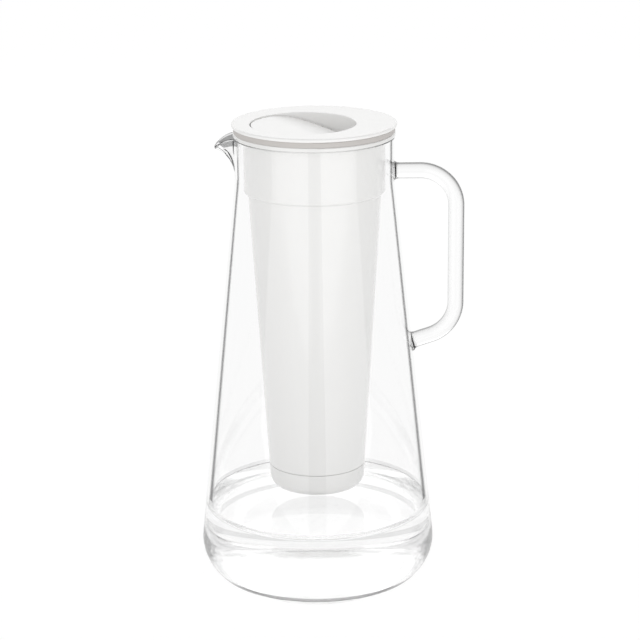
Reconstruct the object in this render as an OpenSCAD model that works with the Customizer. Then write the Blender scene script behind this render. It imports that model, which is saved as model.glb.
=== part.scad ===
// Water filter pitcher: a glass jug with a lift-out hopper, a lid with a tilting filling flap,
// a hollow-fibre microfilter and a carbon cartridge.
// Millimetres, +Z up. The origin is the middle of the base, on the table.
// The spout points to -X and the handle to +X.

/* [Glass jug] */
// Widest outer diameter, just above the foot
base_d = 131.6; // [124:0.2:150]
// Height of the glass rim above the table
vessel_h = 257; // [247:1:290]
// Outer diameter of the straight neck
neck_d = 87.4; // [84:0.2:94]
// Length of the straight neck under the rim
neck_h = 26; // [24:0.5:32]
// Thickness of the glass wall
glass_wall = 1.8; // [1.6:0.1:2.6]
// Thickness of the glass floor
glass_floor = 5; // [4:0.5:8]
// Radius of the rounded foot
foot_r = 24; // [16:1:30]
// Radius that blends the neck into the cone
neck_blend_r = 70; // [40:5:100]

/* [Spout] */
// How far the beak reaches out from the neck
spout_reach = 11; // [8:0.2:13]
// Radius of the beak's flare, seen from the side
spout_arc_r = 16; // [14:0.5:19]
// Height over which the neck turns into the beak
spout_rise = 22; // [19:0.2:23]
// Spread of the beak around the neck, in degrees
spout_spread = 10.6; // [8:0.2:12]
// Thickness of the pouring lip
spout_lip = 2.2; // [1.4:0.1:2.8]

/* [Handle] */
// Diameter of the glass rod
rod_d = 8.8; // [7:0.2:10]
// How far the middle of the grip stands out past the base
handle_out = 12; // [7:0.2:20]
// Distance of the upper arm below the rim
handle_drop = 20.4; // [17:0.2:24]
// Straight length of the grip
grip_h = 55; // [40:1:70]
// Bend radius of the rod, to its middle line
bend_r = 20; // [16:0.5:22]
// Downward slope of the lower arm, in degrees
lower_arm_slope = 18; // [5:1:25]
// How far the rod flares where it is welded to the wall
weld_flare = 1.4; // [0.8:0.1:2.4]

/* [Hopper] */
// Wall thickness of the hopper
hopper_wall = 1.4; // [1.2:0.1:1.8]
// Thickness of the flange that rests on the glass rim
flange_t = 2; // [1.6:0.1:3]
// Gap between the hopper's collar and the neck of the jug
collar_gap = 3.1; // [2:0.1:4]
// Height of the collar under the flange
collar_h = 31; // [28:0.5:36]
// Step from the collar in to the sleeve
collar_step = 2.2; // [1.6:0.1:3]
// Outer diameter of the sleeve at its lower end
sleeve_bottom_d = 54.2; // [53:0.2:58]
// Length of the sleeve
sleeve_h = 157; // [154:1:166]

/* [Lid] */
// How far the lid stands out past the neck
lid_overhang = 1.5; // [1:0.1:3]
// Thickness of the lid's top plate
lid_t = 2; // [1.6:0.1:3]
// Thickness of the grey gasket under the lid
gasket_t = 3; // [2:0.1:4]
// Depth of the skirt that plugs into the collar
skirt_h = 20.4; // [16:0.2:24]
// Wall thickness of the skirt and of the filling well
lid_wall = 1.3; // [1:0.1:1.8]
// Diameter of the filling well
well_d = 57.8; // [52:0.2:58]
// Direction of the well's finger recess, in degrees from the handle
lid_turn = 27; // [0:1:40]

/* [Filling flap] */
// Thickness of the flap
flap_t = 2; // [1.6:0.1:2.4]
// How far the flap's level part lies below the lid
flap_sink = 0.6; // [0.4:0.1:1.2]
// Radius of the curve that dips into the finger recess
flap_curve_r = 66; // [62:1:90]
// How far before the middle of the well the curve starts
flap_curve_start = 8; // [4:0.5:10]
// Distance from the middle of the well to the tilting axis
flap_axis_shift = 2; // [1:0.1:4]
// Diameter of the flap's stub axles
axle_d = 3.2; // [2.6:0.1:3.6]

/* [Microfilter] */
// Outer diameter of the microfilter
membrane_d = 46; // [43:0.5:49]
// Length of the slotted cage
cage_h = 38; // [32:1:42]
// Number of slots around the cage
cage_slots = 12; // [8:1:14]
// Outer diameter of the outlet nozzle
nozzle_d = 16; // [14:0.2:17]
// Diameter of one hollow-fibre strand
fibre_d = 2.2; // [1.6:0.1:2.4]

/* [Carbon cartridge] */
// Height of the bay for the cartridge, from the sleeve's end to the hopper floor
bay_h = 58.8; // [54:0.2:62]
// Height of the visible outlet cap
outlet_cap_h = 13; // [10:0.5:16]
// Radius of the outlet cap's lower edge
outlet_cap_r = 6; // [3:0.5:8]
// Height of the ion-exchange resin
resin_h = 19.6; // [14:0.2:26]
// Thickness of one felt pad
felt_t = 2; // [1.5:0.1:2.5]

/* [Locks and clearances] */
// Turn that frees a filter from its bayonet, in degrees
lock_turn = 45; // [35:1:55]
// Angular width of a bayonet lug, in degrees
lug_w = 14; // [10:1:18]
// Free space between parts that pass each other
gap = 0.4; // [0.3:0.05:0.5]
// Radial play of the flap's axles in their bearings
axle_play = 0.05; // [0.03:0.01:0.1]

/* [Hidden] */
$fn = 96;
// Overshoot of cutting shapes
cut = 1;
// Lugs around each bayonet
lug_count = 3;
lug_h = 2.8;
lug_out = 1.3;
lug_root = 0.5;
// Play of pieces that are pressed or glued into each other
fit = 0.05;

// Jug
neck_r = neck_d / 2;
neck_z = vessel_h - neck_h;
rim_edge_r = 0.45 * glass_wall;
spout_half = 2 * spout_spread;
// Bluntness of the beak's nose, seen from above
spout_round = 3;
spout_z = vessel_h - spout_rise;
spout_turn = acos(1 - spout_reach / spout_arc_r);
// How much faster the lip droops towards its tip than it reaches out
spout_droop = 2.4;
// The beak's border is sunk this deep into the neck, over these parts of its width and height
spout_bury = 0.35;
spout_border_a = 0.12;
spout_border_t = 0.12;
spout_columns = 28;
spout_rows = 12;

// Handle
rod_r = rod_d / 2;
handle_reach = base_d / 2 + handle_out;
upper_arm_z = vessel_h - handle_drop;
lower_bend_z = upper_arm_z - bend_r - grip_h;
lower_turn = 90 - lower_arm_slope;

// Levels from the rim up
flange_z = vessel_h + flange_t;
lid_z = flange_z + gasket_t;
lid_top = lid_z + lid_t;

// Hopper
flange_lip = 0.6;
flange_edge_r = 0.5;
flange_r = neck_r + flange_lip;
collar_r = neck_r - glass_wall - collar_gap;
collar_z = vessel_h - collar_h;
sleeve_top_r = collar_r - collar_step;
sleeve_bottom_r = sleeve_bottom_d / 2;
sleeve_z = collar_z - sleeve_h;
shoulder_r = 1.6;
lock_ring_w = 2.2;
lock_ring_h = 10.8;
lock_ring_r = sleeve_bottom_r - lock_ring_w;
floor_z = sleeve_z + bay_h;
floor_t = 3;
floor_top = floor_z + floor_t;
socket_r = 16.4;
socket_wall = 3;
socket_h = 10;
nozzle_r = nozzle_d / 2;
nozzle_gap = 0.5;
nozzle_hole_r = nozzle_r + nozzle_gap;
// Undersides of the bayonet lugs
membrane_lug_rise = 3;
membrane_lug_z = floor_top + membrane_lug_rise;
cartridge_lug_rise = 4;
cartridge_lug_z = sleeve_z + cartridge_lug_rise;

// Lid
lid_r = neck_r + lid_overhang;
skirt_r = collar_r - hopper_wall - gap;
skirt_z = lid_z - skirt_h;
well_r = well_d / 2;
well_x = -(skirt_r - lid_wall - well_r);
well_h = 15;
well_z = lid_top - well_h;
well_edge_r = 0.6;
gasket_inset = 0.2;
gasket_edge_r = 0.4;
gasket_r = flange_r - gasket_inset;

// Flap
flap_gap = 0.6;
flap_r = well_r - flap_gap;
flap_top = lid_top - flap_sink;
axle_r = axle_d / 2;
// Depth to which the axles are let into the flap
axle_sunk = 0.2;
// Drop of the flap's curve at the tilting axis
axle_drop = flap_curve_r - sqrt(pow(flap_curve_r, 2) - pow(flap_curve_start + flap_axis_shift, 2));
axle_z = flap_top - axle_drop - flap_t - axle_r + axle_sunk;
boss_wall = 1.2;
boss_r = axle_r + boss_wall;
boss_l = 9;
boss_y = well_r - boss_l;
bearing_wall = 2;
bearing_w = axle_d + 2 * bearing_wall;
bearing_l = 3;
bearing_y = well_r + bearing_l;
// The slot under a bearing is this much narrower than the axle
snap_bite = 0.5;
shelf_w = 2;
shelf_turn = 40;

// Microfilter, from the hopper floor up
membrane_r = membrane_d / 2;
membrane_wall = 1.6;
nozzle_wall = 3.5;
bore_r = nozzle_r - nozzle_wall;
nozzle_below = 2;
spigot_r = socket_r - gap;
spigot_z = floor_top + gap;
base_gap = 1.2;
base_z = floor_top + socket_h + base_gap;
cup_floor_t = 3;
cup_z = base_z + cup_floor_t;
// Water from the fibres gathers in this space under the potting
cup_h = 3;
potting_z = cup_z + cup_h;
potting_ledge = 1.4;
potting_r = membrane_r - membrane_wall;
potting_h = 8.8;
cage_z = potting_z + potting_h;
membrane_cap_z = cage_z + cage_h;
cap_t = 4;
grip_bar_h = 6;
seal_d = 1.5;
seal_groove_play = 0.1;
seal_r = nozzle_hole_r - fit - seal_d / 2;
seal_z = floor_z + floor_t / 2;
fibre_turn_r = fibre_d;
fibre_pitch_x = 4 * fibre_d;
fibre_pitch_y = 5;
fibre_side_room = 1.6;
fibre_room_r = potting_r - fibre_side_room;
fibre_headroom = 9;

// Carbon cartridge, from the outlet cap up
cartridge_r = lock_ring_r - gap;
cartridge_wall = 1.4;
media_r = cartridge_r - cartridge_wall - 2 * fit;
// Seam between the sleeve and the outlet cap
seam = 0.3;
cap_top_z = sleeve_z - seam;
cap_z = cap_top_z - outlet_cap_h;
cap_floor_t = 2.4;
shell_z = cap_z + cap_floor_t;
// Room for the face seal under the hopper floor
inlet_room = 4.5;
inlet_lid_top = floor_z - inlet_room;
inlet_lid_t = 2.5;
inlet_plug_h = 4;
shell_top = inlet_lid_top - inlet_lid_t;
resin_z = shell_z + felt_t;
middle_felt_z = resin_z + resin_h;
carbon_z = middle_felt_z + felt_t;
upper_felt_z = shell_top - inlet_plug_h - felt_t;
inlet_seal_r = 12;
inlet_seal_w = 3;
inlet_seat = 1;
inlet_lip_w = 1;
inlet_lip_gap = 0.2;
inlet_hole_r = 1.6;
inlet_holes_r = 7;
drain_hole_r = 1.5;
drain_pitch = 6;

// Outer radius of the tapered sleeve at height z
function sleeve_at(z) =
    sleeve_bottom_r + (sleeve_top_r - sleeve_bottom_r) * (z - sleeve_z) / sleeve_h;

// Angle at which a line from point p touches the outer side of a circle
function touch_angle(centre, r, p) =
    atan2(p.y - centre.y, p.x - centre.x) - acos(r / norm(p - centre));

function on_circle(centre, r, angle) = centre + r * [cos(angle), sin(angle)];

function clamp(x) = max(0, min(1, x));

// Shapes that several parts share

module ring(r_in, r_out, h) {
    rotate_extrude()
        translate([r_in, 0])
            square([r_out - r_in, h]);
}

// Rounds the corner at the origin of an outline that lies at -x and -y
module round_corner(r) {
    translate([-r, -r])
        difference() {
            square(r + cut);
            circle(r);
        }
}

// Round holes on a circle
module hole_ring(count, ring_r, hole_r, h) {
    for (i = [0 : count - 1])
        rotate(i * 360 / count)
            translate([ring_r, 0, -cut])
                cylinder(r = hole_r, h = h + 2 * cut);
}

// Part of a ring, from angle a over a turn of w degrees
module arc_block(r_in, r_out, z, h, a, w) {
    rotate_extrude(angle = w, start = a)
        translate([r_in, z])
            square([r_out - r_in, h]);
}

module lugs(r, z) {
    for (i = [0 : lug_count - 1])
        arc_block(r - lug_root, r + lug_out, z, lug_h, i * 360 / lug_count - lug_w / 2, lug_w);
}

// L-shaped grooves for the lugs: side is the way the filter turns to come free,
// and the way in runs from entry_z to the groove
module lock_grooves(r, z, side, entry_z) {
    play = 2;
    groove_r = r + gap + lug_out;
    groove_z = z - gap;
    groove_h = lug_h + 2 * gap;
    w = lug_w + 2 * play;
    for (i = [0 : lug_count - 1])
        rotate(i * 360 / lug_count) {
            arc_block(r - cut, groove_r, groove_z, groove_h,
                (side < 0 ? -lock_turn : 0) - w / 2, lock_turn + w);
            arc_block(r - cut, groove_r, min(entry_z, groove_z),
                max(entry_z, groove_z + groove_h) - min(entry_z, groove_z),
                side * lock_turn - w / 2, w);
        }
}

// Glass jug

// Half of the jug's outline, moved in by inset, from the floor up to a given height
module jug_outline(inset, floor_level, top) {
    r = neck_r - inset;
    round_r = foot_r - inset;
    centre = [base_d / 2 - foot_r, floor_level + round_r];
    corner = [r, neck_z];
    lean = touch_angle(centre, round_r, corner);
    blend_r = neck_blend_r + inset;
    reach = blend_r * tan(lean / 2);
    difference() {
        union() {
            translate(centre)
                circle(round_r);
            polygon([[0, floor_level], [centre.x, floor_level], on_circle(centre, round_r, lean),
                corner + reach * [sin(lean), -cos(lean)], [r, neck_z + reach], [r, top], [0, top]]);
        }
        translate([r + blend_r, neck_z + reach])
            circle(blend_r, $fn = 360);
    }
}

module jug_wall() {
    rotate_extrude()
        difference() {
            jug_outline(0, 0, vessel_h);
            jug_outline(glass_wall, glass_floor, vessel_h + cut);
            translate([neck_r, vessel_h])
                round_corner(rim_edge_r);
            translate([neck_r - glass_wall, vessel_h])
                mirror([1, 0])
                    round_corner(rim_edge_r);
        }
}

// Share of the beak's full reach at an angle from its middle
function spout_share(a) = exp(-pow(abs(a) / spout_spread, spout_round));

// How far a point lies in the border that is sunk into the neck's wall, 0 to 1
function spout_border(a, t) =
    max(clamp((abs(a) / spout_half - 1) / spout_border_a + 1), clamp(1 - t / spout_border_t));

// Point of the beak at angle a and height t from 0 to 1; side 0 is outside and 1 is inside
function spout_point(a, t, side) =
    let (share = spout_share(a),
        droop = pow(share, spout_droop),
        wall = side * (glass_wall - (glass_wall - spout_lip) * t * droop),
        turn = spout_turn * t,
        arc = spout_arc_r + wall,
        sunk = spout_bury * spout_border(a, t),
        r = neck_r - wall + share * arc * (1 - cos(turn)) - sunk * (1 - 2 * side),
        z = spout_z + (1 - droop) * spout_rise * t + droop * arc * sin(turn)
            - spout_bury * t * spout_border(a, 1))
    [-r * cos(a), r * sin(a), z];

// Beak as a lofted shell: a grid of points outside, a second one inside, and four closed edges
module spout() {
    columns = spout_columns;
    rows = spout_rows;
    grid = (columns + 1) * (rows + 1);
    points = [for (side = [0, 1], i = [0 : columns], j = [0 : rows])
        spout_point(spout_half * (2 * i / columns - 1), j / rows, side)];
    function at(side, i, j) = side * grid + i * (rows + 1) + j;
    function quad(a, b, c, d) = [[a, c, b], [a, d, c]];
    skins = [for (i = [0 : columns - 1], j = [0 : rows - 1])
        each concat(
            quad(at(0, i, j), at(0, i, j + 1), at(0, i + 1, j + 1), at(0, i + 1, j)),
            quad(at(1, i, j), at(1, i + 1, j), at(1, i + 1, j + 1), at(1, i, j + 1)))];
    ends = [for (i = [0 : columns - 1])
        each concat(
            quad(at(0, i, 0), at(0, i + 1, 0), at(1, i + 1, 0), at(1, i, 0)),
            quad(at(0, i, rows), at(1, i, rows), at(1, i + 1, rows), at(0, i + 1, rows)))];
    sides = [for (j = [0 : rows - 1])
        each concat(
            quad(at(0, 0, j), at(1, 0, j), at(1, 0, j + 1), at(0, 0, j + 1)),
            quad(at(0, columns, j), at(0, columns, j + 1),
                at(1, columns, j + 1), at(1, columns, j)))];
    polyhedron(points, concat(skins, ends, sides), convexity = 6);
}

// Window in the neck that the beak fills
module spout_window() {
    half = spout_half * (1 - spout_border_a / 2);
    far = 2 * neck_r;
    edge = far * [-cos(half), sin(half)];
    translate([0, 0, spout_z + spout_rise * spout_border_t / 2])
        linear_extrude(spout_rise)
            polygon([[0, 0], edge, [-far, 0], [edge.x, -edge.y]]);
}

module glass_vessel() {
    color([0.93, 0.96, 0.96, 0.35])
        union() {
            difference() {
                jug_wall();
                spout_window();
            }
            spout();
        }
}

// Handle

// Straight arm along Z: starts below the wall's face, flares where it is welded, and laps over
// the bend. The arms are drawn a touch thicker than the bends, so that each lap closes.
module arm(below, length) {
    extra = 0.1;
    lap = 1.5;
    weld_foot = 0.8;
    arm_r = rod_r + extra;
    flare_top = weld_foot + weld_flare;
    rotate_extrude() {
        difference() {
            translate([0, -below])
                square([arm_r + weld_flare, below + flare_top]);
            translate([arm_r + weld_flare, flare_top])
                circle(weld_flare);
        }
        translate([0, flare_top])
            square([arm_r, length + lap - flare_top]);
    }
}

module bend(angle) {
    rotate_extrude(angle = angle)
        translate([bend_r, 0])
            circle(rod_r);
}

// Lean of the jug's cone: how much its radius grows for each millimetre down
function jug_slope() =
    let (centre = [base_d / 2 - foot_r, foot_r])
    tan(touch_angle(centre, foot_r, [neck_r, neck_z]));

// Outer radius of the jug's cone at height z
function jug_at(z) = neck_r + (neck_z - z) * jug_slope();

module glass_handle() {
    // The arms start this deep inside the wall's outer face, and the wall trims them
    depth = 4;
    upper_run = handle_reach - bend_r - neck_r;
    bend_end = on_circle([handle_reach - bend_r, lower_bend_z], bend_r, -lower_turn);
    lower_run = (bend_end.x - jug_at(bend_end.y))
        / (cos(lower_arm_slope) + jug_slope() * sin(lower_arm_slope));
    color([0.90, 0.94, 0.94, 0.4])
        difference() {
            union() {
                translate([neck_r, 0, upper_arm_z])
                    rotate([0, 90, 0])
                        arm(depth, upper_run);
                translate([handle_reach - bend_r, 0, upper_arm_z - bend_r])
                    rotate([90, 0, 0])
                        bend(90);
                translate([handle_reach, 0, lower_bend_z])
                    cylinder(r = rod_r, h = grip_h);
                translate([handle_reach - bend_r, 0, lower_bend_z])
                    rotate([-90, 0, 0])
                        bend(lower_turn);
                translate([bend_end.x, 0, bend_end.y])
                    rotate([0, 90 - lower_arm_slope, 0])
                        translate([0, 0, -lower_run])
                            arm(depth, lower_run);
            }
            rotate_extrude()
                jug_outline(0, 0, vessel_h);
        }
}

// Hopper

module hopper_outline() {
    inner_r = collar_r - hopper_wall;
    lock_top = sleeve_z + lock_ring_h;
    chamfer = 2;
    difference() {
        polygon([[inner_r, flange_z], [flange_r, flange_z], [flange_r, vessel_h],
            [collar_r, vessel_h], [collar_r, collar_z], [sleeve_top_r, collar_z],
            [sleeve_bottom_r, sleeve_z], [lock_ring_r, sleeve_z], [lock_ring_r, lock_top],
            [sleeve_at(lock_top + chamfer) - hopper_wall, lock_top + chamfer],
            [sleeve_top_r - hopper_wall, collar_z + hopper_wall],
            [inner_r, collar_z + hopper_wall]]);
        translate([flange_r, flange_z])
            round_corner(flange_edge_r);
        translate([collar_r, collar_z])
            mirror([0, 1])
                round_corner(shoulder_r);
    }
}

// Floor between the reservoir and the cartridge bay, with the microfilter's socket
module hopper_floor() {
    translate([0, 0, floor_z])
        ring(nozzle_hole_r, sleeve_at(floor_z) - hopper_wall / 2, floor_t);
    translate([0, 0, floor_top - cut])
        ring(socket_r, socket_r + socket_wall, socket_h + cut);
    // Ribs from the socket to the sleeve
    ribs = 6;
    rib_t = 1.6;
    rib_h = 5;
    rib_start = socket_r + socket_wall - cut;
    rib_end = sleeve_at(floor_top) - hopper_wall / 2;
    for (i = [0 : ribs - 1])
        rotate((i + 0.5) * 360 / ribs)
            translate([rib_start, -rib_t / 2, floor_top - cut])
                cube([rib_end - rib_start, rib_t, rib_h + cut]);
}

module hopper() {
    color([0.94, 0.94, 0.93, 0.9])
        difference() {
            union() {
                rotate_extrude()
                    hopper_outline();
                hopper_floor();
            }
            lock_grooves(socket_r, membrane_lug_z, 1, floor_top + socket_h + cut);
            lock_grooves(lock_ring_r, cartridge_lug_z, -1, sleeve_z - cut);
        }
}

// Lid

module lid_outline() {
    edge = lid_t / 2;
    translate([0, lid_z])
        square([lid_r - edge, lid_t]);
    translate([lid_r - edge, lid_z + edge])
        intersection() {
            circle(edge);
            translate([0, -edge])
                square([edge, lid_t]);
        }
    translate([skirt_r - lid_wall, skirt_z])
        square([lid_wall, skirt_h + edge]);
}

module filling_well() {
    intersection() {
        translate([well_x, 0, well_z])
            cylinder(r = well_r + lid_wall, h = lid_z - well_z + cut);
        translate([0, 0, well_z])
            cylinder(r = skirt_r, h = lid_top - well_z);
    }
}

// Two ears that carry the flap's axles, hung from the lid's plate beside the well
module bearings() {
    bottom = axle_z - bearing_w / 2;
    translate([well_x + flap_axis_shift - bearing_w / 2, -bearing_y, bottom])
        cube([bearing_w, 2 * bearing_y, lid_z - bottom + cut]);
}

// Axle holes, each open downwards through a slot that the axle snaps past
module bearing_holes() {
    snap_w = axle_d - snap_bite;
    translate([well_x + flap_axis_shift, 0, axle_z])
        rotate([90, 0, 0])
            cylinder(r = axle_r + axle_play, h = 2 * (bearing_y + cut), center = true);
    translate([well_x + flap_axis_shift - snap_w / 2, -bearing_y - cut, well_z - cut])
        cube([snap_w, 2 * (bearing_y + cut), axle_z - well_z + cut]);
}

module lid_cover() {
    color([0.97, 0.97, 0.96])
        rotate(lid_turn) {
            difference() {
                union() {
                    rotate_extrude()
                        lid_outline();
                    filling_well();
                    bearings();
                }
                translate([well_x, 0, skirt_z])
                    cylinder(r = well_r, h = lid_top);
                translate([well_x, 0, lid_top])
                    rotate_extrude()
                        translate([well_r, 0])
                            mirror([1, 0])
                                round_corner(well_edge_r);
                bearing_holes();
            }
            // Shelf that the level end of the flap rests on
            translate([well_x, 0, 0])
                arc_block(well_r - shelf_w, well_r + lid_wall / 2, flap_top - flap_t - shelf_w,
                    shelf_w, 180 - shelf_turn / 2, shelf_turn);
        }
}

module lid_gasket() {
    color([0.80, 0.79, 0.78])
        rotate_extrude()
            difference() {
                translate([skirt_r + fit, flange_z])
                    square([gasket_r - skirt_r - fit, gasket_t]);
                translate([gasket_r, lid_z])
                    round_corner(gasket_edge_r);
                translate([gasket_r, flange_z])
                    mirror([0, 1])
                        round_corner(gasket_edge_r);
            }
}

// Filling flap

// Side view: level at one end, and a curve tangent to it towards the other
module flap_outline() {
    translate([-well_r, flap_top - flap_t])
        square([well_r - flap_curve_start, flap_t]);
    translate([-flap_curve_start, flap_top - flap_curve_r])
        intersection() {
            difference() {
                circle(flap_curve_r, $fn = 240);
                circle(flap_curve_r - flap_t, $fn = 240);
            }
            translate([-cut, 0])
                square([well_r + flap_curve_start + cut, flap_curve_r + cut]);
        }
}

module fill_flap() {
    color([0.95, 0.95, 0.94])
        rotate(lid_turn)
            translate([well_x, 0, 0]) {
                intersection() {
                    rotate([90, 0, 0])
                        linear_extrude(2 * well_r, center = true)
                            flap_outline();
                    translate([0, 0, well_z - well_r])
                        cylinder(r = flap_r, h = 2 * well_r);
                }
                for (side = [-1, 1])
                    translate([flap_axis_shift, 0, axle_z])
                        rotate([side * 90, 0, 0])
                            translate([0, 0, boss_y]) {
                                cylinder(r = axle_r, h = bearing_y - boss_y - gap);
                                cylinder(r = boss_r, h = flap_r - gap - boss_y);
                            }
            }
}

// Microfilter

module membrane_base() {
    skin = 1.8;
    tip_z = floor_z - nozzle_below;
    ledge_r = potting_r - potting_ledge;
    recess_top = cup_z - cup_floor_t - skin;
    groove_h = seal_d + 2 * seal_groove_play;
    color([0.86, 0.87, 0.88])
        union() {
            difference() {
                rotate_extrude()
                    polygon([[bore_r, tip_z], [nozzle_r, tip_z], [nozzle_r, recess_top],
                        [spigot_r - skin, recess_top], [spigot_r - skin, spigot_z],
                        [spigot_r, spigot_z], [spigot_r, base_z], [membrane_r, base_z],
                        [membrane_r, cage_z], [potting_r, cage_z], [potting_r, potting_z],
                        [ledge_r, potting_z], [ledge_r, cup_z], [bore_r, cup_z]]);
                translate([0, 0, seal_z - groove_h / 2])
                    ring(seal_r - seal_d / 2, nozzle_r + cut, groove_h);
            }
            lugs(spigot_r, membrane_lug_z);
        }
}

module membrane_o_ring() {
    color([0.25, 0.25, 0.26])
        translate([0, 0, seal_z])
            rotate_extrude()
                translate([seal_r, 0])
                    circle(seal_d / 2);
}

module membrane_potting() {
    color([0.90, 0.87, 0.76])
        translate([0, 0, potting_z])
            cylinder(r = potting_r - fit, h = potting_h);
}

// One strand bent into a loop, both ends in the potting
module fibre_loop(h) {
    for (side = [-1, 1])
        translate([side * fibre_turn_r, 0, 0])
            cylinder(r = fibre_d / 2, h = h, $fn = 24);
    translate([0, 0, h])
        rotate([90, 0, 0])
            rotate_extrude(angle = 180, $fn = 24)
                translate([fibre_turn_r, 0])
                    circle(fibre_d / 2, $fn = 24);
}

module hollow_fibres() {
    loop_h = cage_h - fibre_headroom - fibre_turn_r - fibre_d;
    half_w = fibre_turn_r + fibre_d / 2;
    rows = floor(fibre_room_r / fibre_pitch_y);
    color([0.97, 0.96, 0.92])
        for (row = [-rows : rows]) {
            y = row * fibre_pitch_y;
            room = sqrt(pow(fibre_room_r, 2) - pow(abs(y) + fibre_d / 2, 2)) - half_w;
            count = floor(2 * room / fibre_pitch_x) + 1;
            for (i = [0 : count - 1])
                translate([(i - (count - 1) / 2) * fibre_pitch_x, y, cage_z])
                    fibre_loop(loop_h);
        }
}

// Slot with round ends, standing along Z and cutting outwards along X
module cage_slot(w, h) {
    rotate([90, 0, 90])
        linear_extrude(2 * membrane_wall) {
            translate([-w / 2, w / 2])
                square([w, h - w]);
            translate([0, w / 2])
                circle(w / 2, $fn = 32);
            translate([0, h - w / 2])
                circle(w / 2, $fn = 32);
        }
}

module membrane_cage() {
    slot_w = 5;
    slot_end = 5;
    color([0.95, 0.95, 0.95])
        difference() {
            translate([0, 0, cage_z])
                ring(membrane_r - membrane_wall, membrane_r, cage_h);
            for (i = [0 : cage_slots - 1])
                rotate(i * 360 / cage_slots)
                    translate([membrane_r - 1.5 * membrane_wall, 0, cage_z + slot_end])
                        cage_slot(slot_w, cage_h - 2 * slot_end);
        }
}

module membrane_cap() {
    plug_r = potting_r - 2 * fit;
    plug_h = 4;
    plug_wall = 1.4;
    edge_r = 2;
    bar_w = 6;
    bar_l = 0.7 * membrane_d;
    vent_r = 1.5;
    vent_pitch = 7;
    vent_y = 0.45 * membrane_r;
    color([0.86, 0.87, 0.88])
        difference() {
            union() {
                translate([0, 0, membrane_cap_z])
                    rotate_extrude()
                        difference() {
                            square([membrane_r, cap_t]);
                            translate([membrane_r, cap_t])
                                round_corner(edge_r);
                        }
                translate([0, 0, membrane_cap_z - plug_h])
                    ring(plug_r - plug_wall, plug_r, plug_h + cut);
                // Bar to turn the filter by
                translate([0, 0, membrane_cap_z + cap_t - cut])
                    linear_extrude(grip_bar_h + cut) {
                        square([bar_l - bar_w, bar_w], center = true);
                        for (side = [-1, 1])
                            translate([side * (bar_l - bar_w) / 2, 0])
                                circle(bar_w / 2, $fn = 48);
                    }
            }
            for (side = [-1, 1])
                for (i = [-1 : 1])
                    translate([i * vent_pitch, side * vent_y, membrane_cap_z - cut])
                        cylinder(r = vent_r, h = cap_t + 2 * cut);
        }
}

// Carbon cartridge

module carbon_shell() {
    color([0.93, 0.93, 0.92])
        union() {
            translate([0, 0, shell_z])
                ring(cartridge_r - cartridge_wall, cartridge_r, shell_top - shell_z);
            lugs(cartridge_r, cartridge_lug_z);
        }
}

module outlet_cap() {
    centre = [sleeve_at(cap_z + outlet_cap_r) - outlet_cap_r, cap_z + outlet_cap_r];
    top = [sleeve_at(cap_top_z), cap_top_z];
    lean = touch_angle(centre, outlet_cap_r, top);
    color([0.94, 0.94, 0.93, 0.9])
        difference() {
            rotate_extrude()
                difference() {
                    union() {
                        polygon([[0, cap_z], [centre.x, cap_z],
                            on_circle(centre, outlet_cap_r, lean), top, [0, cap_top_z]]);
                        translate(centre)
                            circle(outlet_cap_r);
                    }
                    translate([0, shell_z])
                        square([cartridge_r + fit, outlet_cap_h]);
                }
            translate([0, 0, cap_z])
                for (i = [0 : 2])
                    hole_ring(max(1, 6 * i), i * drain_pitch, drain_hole_r, cap_floor_t);
        }
}

module inlet_lid() {
    plug_r = cartridge_r - cartridge_wall - fit;
    plug_wall = 2;
    color([0.93, 0.93, 0.92])
        difference() {
            union() {
                translate([0, 0, shell_top])
                    cylinder(r = cartridge_r, h = inlet_lid_t);
                translate([0, 0, shell_top - inlet_plug_h])
                    ring(plug_r - plug_wall, plug_r, inlet_plug_h + cut);
            }
            translate([0, 0, inlet_lid_top - inlet_seat])
                ring(inlet_seal_r, inlet_seal_r + inlet_seal_w, inlet_seat + cut);
            translate([0, 0, shell_top]) {
                hole_ring(1, 0, inlet_hole_r, inlet_lid_t);
                hole_ring(8, inlet_holes_r, inlet_hole_r, inlet_lid_t);
            }
        }
}

// Face seal with a lip that narrows towards the hopper floor
module inlet_seal() {
    seat_z = inlet_lid_top - inlet_seat;
    lip_z = floor_z - inlet_lip_gap;
    r_in = inlet_seal_r + fit;
    r_out = inlet_seal_r + inlet_seal_w - fit;
    color([0.80, 0.79, 0.78])
        rotate_extrude()
            polygon([[r_in, seat_z], [r_out, seat_z], [r_out, inlet_lid_top + inlet_seat],
                [r_in + inlet_lip_w, lip_z], [r_in, lip_z]]);
}

module pad(z, h) {
    translate([0, 0, z])
        cylinder(r = media_r, h = h);
}

module upper_felt() {
    color([0.92, 0.91, 0.88])
        pad(upper_felt_z, felt_t);
}

module carbon_bed() {
    color([0.12, 0.12, 0.13])
        pad(carbon_z, upper_felt_z - carbon_z);
}

module middle_felt() {
    color([0.92, 0.91, 0.88])
        pad(middle_felt_z, felt_t);
}

module resin_bed() {
    color([0.82, 0.62, 0.32])
        pad(resin_z, resin_h);
}

module lower_felt() {
    color([0.92, 0.91, 0.88])
        pad(shell_z, felt_t);
}

glass_vessel();
glass_handle();
hopper();
lid_cover();
lid_gasket();
fill_flap();
membrane_cap();
membrane_cage();
membrane_base();
membrane_potting();
hollow_fibres();
membrane_o_ring();
carbon_shell();
outlet_cap();
inlet_lid();
inlet_seal();
upper_felt();
carbon_bed();
middle_felt();
resin_bed();
lower_felt();
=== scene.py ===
# %% [markdown]
# # Water filter pitcher
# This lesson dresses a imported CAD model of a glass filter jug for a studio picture.
# The CAD model already has every plastic part at its true size, so those parts only get materials.
# The glass is different: light bends in it, and every flat facet would show.
# So the jug and its handle are made again here as smooth meshes, from the same sizes as the CAD model.

import math

import bpy
import numpy as np
from mathutils import Matrix, Vector


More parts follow.
